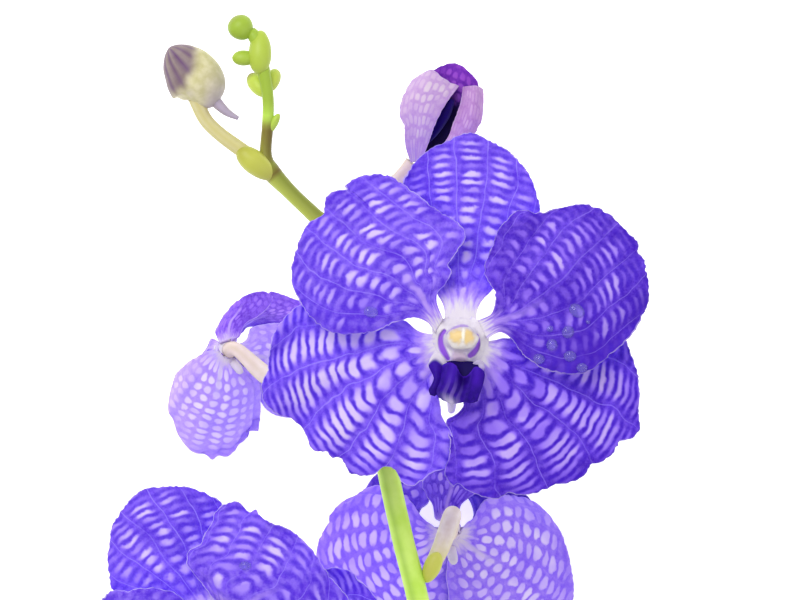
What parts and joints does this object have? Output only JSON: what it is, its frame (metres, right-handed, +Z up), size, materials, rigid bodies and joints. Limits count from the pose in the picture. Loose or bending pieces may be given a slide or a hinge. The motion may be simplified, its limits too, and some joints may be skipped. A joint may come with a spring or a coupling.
{
  "type": "cut vanda orchid",
  "caption": "Cut flower spray lying on a surface: broad violet blooms, a half-open bloom and buds on one bare stem.",
  "frame": {"origin": "middle of the spray's box, on the surface that it lies on", "axes": "+Y along the stem from its cut end towards its tip, +Z up, the way the front bloom faces"},
  "size_m": [0.1493, 0.3261, 0.095],
  "materials": {
    "tepal": "soft satin petal with pale tessellated veins",
    "lip": "satin dark violet petal",
    "column": "waxy off-white petal tissue",
    "anther_cap": "waxy pale yellow",
    "pedicel": "matte off-white stalk",
    "stem": "satin fresh green stalk",
    "bud": "satin cream and purple bud"
  },
  "bodies": {
    "root": {"front_bloom_dorsal_sepal": "tepal", "front_bloom_petal_left": "tepal", "front_bloom_petal_right": "tepal", "front_bloom_lateral_sepal_left": "tepal", "front_bloom_lateral_sepal_right": "tepal", "front_bloom_lip": "lip", "front_bloom_column": "column", "front_bloom_anther_cap": "anther_cap", "front_bloom_pedicel": "pedicel", "lower_bloom_dorsal_sepal": "tepal", "lower_bloom_petal_left": "tepal", "lower_bloom_petal_right": "tepal", "lower_bloom_lateral_sepal_left": "tepal", "lower_bloom_lateral_sepal_right": "tepal", "lower_bloom_lip": "lip", "lower_bloom_column": "column", "lower_bloom_anther_cap": "anther_cap", "lower_bloom_pedicel": "pedicel", "back_bloom_dorsal_sepal": "tepal", "back_bloom_petal_left": "tepal", "back_bloom_petal_right": "tepal", "back_bloom_lateral_sepal_left": "tepal", "back_bloom_lateral_sepal_right": "tepal", "back_bloom_lip": "lip", "back_bloom_column": "column", "back_bloom_anther_cap": "anther_cap", "back_bloom_pedicel": "pedicel", "side_bloom_dorsal_sepal": "tepal", "side_bloom_petal_left": "tepal", "side_bloom_petal_right": "tepal", "side_bloom_lateral_sepal_left": "tepal", "side_bloom_lateral_sepal_right": "tepal", "side_bloom_lip": "lip", "side_bloom_column": "column", "side_bloom_anther_cap": "anther_cap", "side_bloom_pedicel": "pedicel", "half_open_bloom_dorsal_sepal": "tepal", "half_open_bloom_sepal_left": "tepal", "half_open_bloom_sepal_right": "tepal", "half_open_bloom_petal_left": "tepal", "half_open_bloom_petal_right": "tepal", "half_open_bloom_lip": "lip", "half_open_bloom_pedicel": "pedicel", "large_bud": "bud", "large_bud_pedicel": "pedicel", "flower_stem": "stem"}
  },
  "joints": []
}
